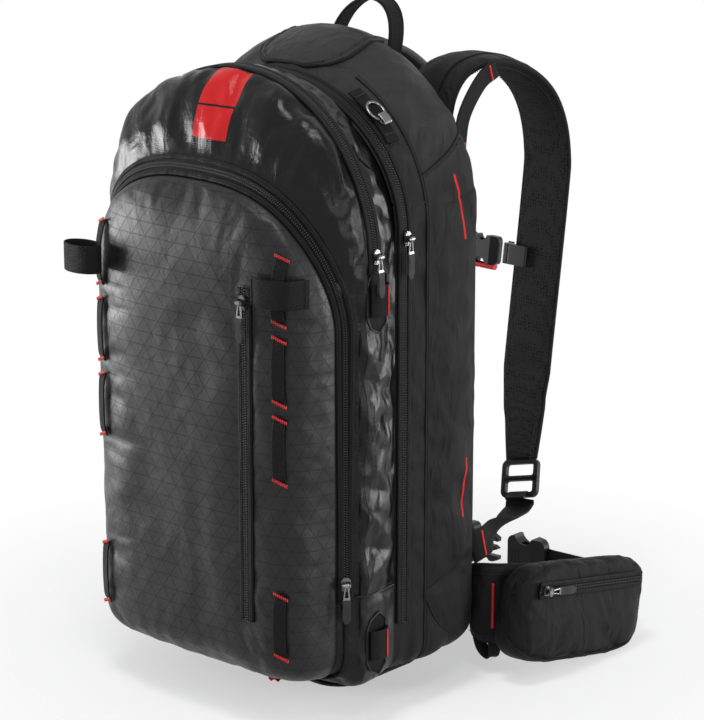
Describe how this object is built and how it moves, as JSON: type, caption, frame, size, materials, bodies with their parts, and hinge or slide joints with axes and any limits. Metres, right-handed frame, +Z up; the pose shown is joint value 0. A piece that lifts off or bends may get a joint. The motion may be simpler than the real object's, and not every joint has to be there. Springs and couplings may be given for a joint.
{
  "type": "avalanche airbag backpack",
  "caption": "Winter touring backpack with a gas-driven airbag under its top flap, zipped tool and front pockets, shoulder straps with a trigger handle and a padded hip belt.",
  "frame": {"origin": "middle of the flat lumbar pad face that rests on the wearer", "axes": "+X to the side with the hip pocket, +Y out of the back towards the wearer, +Z up"},
  "size_m": [0.4024, 0.4873, 0.6377],
  "materials": {
    "woven_fabric": "matte woven nylon with a fine ripstop grid",
    "gloss_fabric": "coated glossy fabric",
    "foam": "foam covered with spacer mesh",
    "webbing": "woven polyester webbing",
    "zip_tape": "zip tape with nylon coil",
    "airbag_nylon": "thin coated nylon, folded",
    "buckle_plastic": "moulded acetal",
    "signal_plastic": "moulded acetal in a signal colour",
    "frame_plastic": "polyethylene sheet",
    "aluminium": "satin",
    "steel": "dark plated",
    "rubber": "matte"
  },
  "bodies": {
    "pack": {"main_bag": "woven_fabric", "airbag_cover": "woven_fabric", "airbag": "airbag_nylon", "divider": "woven_fabric", "tool_pocket": "gloss_fabric", "front_pocket": "woven_fabric", "base_panel": "gloss_fabric", "frame_sheet": "frame_plastic", "frame_stays": "aluminium", "back_panel": "foam", "back_pads": "foam", "shoulder_strap_right": "foam", "shoulder_strap_left": "foam", "ladder_locks": "buckle_plastic", "strap_webbing": "webbing", "load_lifters": "webbing", "handle_anchors": "webbing", "inflation_head": "aluminium", "inflation_hose": "rubber", "cylinder_bracket": "buckle_plastic", "handle_sleeve": "buckle_plastic", "trigger_cable": "rubber", "pocket_zip": "zip_tape", "tool_zip": "zip_tape", "main_zip": "zip_tape", "slash_zip": "zip_tape", "daisy_chains": "webbing", "axe_loops": "webbing", "ski_loops": "webbing", "hook_strap": "webbing"},
    "gas_cylinder": {"gas_cylinder": "aluminium"},
    "release_lever": {"release_lever": "steel"},
    "firing_pin": {"firing_pin": "steel"},
    "trigger": {"trigger_handle": "signal_plastic"},
    "carry_handle": {"carry_handle": "webbing"},
    "airbag_flap": {"airbag_flap": "woven_fabric"},
    "sternum_right": {"sternum_slider_right": "buckle_plastic", "sternum_strap_right": "webbing", "sternum_buckle_female": "signal_plastic"},
    "sternum_left": {"sternum_slider_left": "buckle_plastic", "sternum_strap_left": "webbing"},
    "sternum_male": {"sternum_buckle_male": "buckle_plastic"},
    "hip_right": {"hip_wing_right": "foam", "hip_pocket": "woven_fabric", "hip_pocket_zip": "zip_tape", "hip_webbing_right": "webbing", "hip_buckle_female": "buckle_plastic"},
    "hip_left": {"hip_wing_left": "foam", "hip_webbing_left": "webbing", "hip_buckle_male": "buckle_plastic"},
    "pocket_slider": {"pocket_slider": "steel"},
    "pocket_pull": {"pocket_pull": "rubber"},
    "tool_slider": {"tool_slider": "steel"},
    "tool_pull": {"tool_pull": "rubber"},
    "main_slider": {"main_slider": "steel"},
    "main_pull": {"main_pull": "rubber"},
    "slash_slider": {"slash_slider": "steel"},
    "slash_pull": {"slash_pull": "rubber"},
    "hip_slider": {"hip_slider": "steel"},
    "hip_pull": {"hip_pull": "rubber"}
  },
  "joints": [
    {"name": "handle_fold", "type": "hinge", "parent": "pack", "child": "carry_handle", "pos_m": [0, -0.0091, 0.47], "axis": [-1, 0, 0], "range_deg": [0, 75]},
    {"name": "flap_open", "type": "hinge", "parent": "pack", "child": "airbag_flap", "pos_m": [0, -0.03464, 0.509], "axis": [-1, 0, 0], "range_deg": [0, 100]},
    {"name": "trigger_pull", "type": "slide", "parent": "pack", "child": "trigger", "axis": [0, -0.1348, -0.9909], "range_m": [0, 0.04]},
    {"name": "lever_turn", "type": "hinge", "parent": "pack", "child": "release_lever", "pos_m": [-0.1085, -0.0681, 0.2725], "axis": [0, 1, 0], "range_deg": [0, 35]},
    {"name": "pin_drop", "type": "slide", "parent": "pack", "child": "firing_pin", "axis": [0, 0, -1], "range_m": [0, 0.00764]},
    {"name": "cylinder_turn", "type": "hinge", "parent": "pack", "child": "gas_cylinder", "pos_m": [-0.0965, -0.0681, -0.0375], "axis": [0, 0, 1], "range_deg": [0, 1080]},
    {"name": "sternum_height_right", "type": "slide", "parent": "pack", "child": "sternum_right", "axis": [0, 0.1348, 0.9909], "range_m": [-0.03, 0.03]},
    {"name": "sternum_height_left", "type": "slide", "parent": "pack", "child": "sternum_left", "axis": [0, 0.1348, 0.9909], "range_m": [-0.03, 0.03]},
    {"name": "sternum_release", "type": "slide", "parent": "sternum_left", "child": "sternum_male", "axis": [-1, 0, 0], "range_m": [0, 0.022]},
    {"name": "hip_right_swing", "type": "hinge", "parent": "pack", "child": "hip_right", "pos_m": [0.141, -0.0005, -0.034], "axis": [0, 0, -1], "range_deg": [0, 25], "stiffness_Nm_per_rad": 0.8},
    {"name": "hip_left_swing", "type": "hinge", "parent": "pack", "child": "hip_left", "pos_m": [-0.141, -0.0005, -0.034], "axis": [0, 0, 1], "range_deg": [0, 25], "stiffness_Nm_per_rad": 0.8},
    {"name": "pocket_zip_run", "type": "slide", "parent": "pack", "child": "pocket_slider", "axis": [0, 0, 1], "range_m": [0, 0.206]},
    {"name": "pocket_pull_swing", "type": "hinge", "parent": "pocket_slider", "child": "pocket_pull", "pos_m": [0.1483, -0.19595, 0.036], "axis": [-0.6332, -0.774, 0], "range_deg": [0, 110]},
    {"name": "tool_zip_run", "type": "hinge", "parent": "pack", "child": "tool_slider", "pos_m": [0, -0.1677, 0.327], "axis": [0, -1, 0], "range_deg": [0, 175]},
    {"name": "tool_pull_swing", "type": "hinge", "parent": "tool_slider", "child": "tool_pull", "pos_m": [0.16234, -0.1677, 0.33409], "axis": [0, -1, 0], "range_deg": [0, 110]},
    {"name": "main_zip_run", "type": "slide", "parent": "pack", "child": "main_slider", "axis": [0, 0, -1], "range_m": [0, 0.339]},
    {"name": "main_pull_swing", "type": "hinge", "parent": "main_slider", "child": "main_pull", "pos_m": [0.1614, -0.12596, 0.343], "axis": [0, -1, 0], "range_deg": [0, 110]},
    {"name": "slash_zip_run", "type": "slide", "parent": "pack", "child": "slash_slider", "axis": [0, 0, -1], "range_m": [0, 0.275]},
    {"name": "slash_pull_swing", "type": "hinge", "parent": "slash_slider", "child": "slash_pull", "pos_m": [0.076, -0.2552, 0.295], "axis": [-1, 0, 0], "range_deg": [0, 110]},
    {"name": "hip_zip_run", "type": "slide", "parent": "hip_right", "child": "hip_slider", "axis": [0.0394, 0.9851, -0.1675], "range_m": [0, 0.127]},
    {"name": "hip_pull_swing", "type": "hinge", "parent": "hip_slider", "child": "hip_pull", "pos_m": [0.2116, 0.01932, -0.01302], "axis": [0, -0.1676, -0.9859], "range_deg": [0, 110]}
  ],
  "couplings": [
    {"joint": "lever_turn", "follows": "trigger_pull", "rad_per_m": 15.272},
    {"joint": "pin_drop", "follows": "trigger_pull", "ratio": 0.1909},
    {"joint": "sternum_height_left", "follows": "sternum_height_right", "ratio": 1}
  ]
}
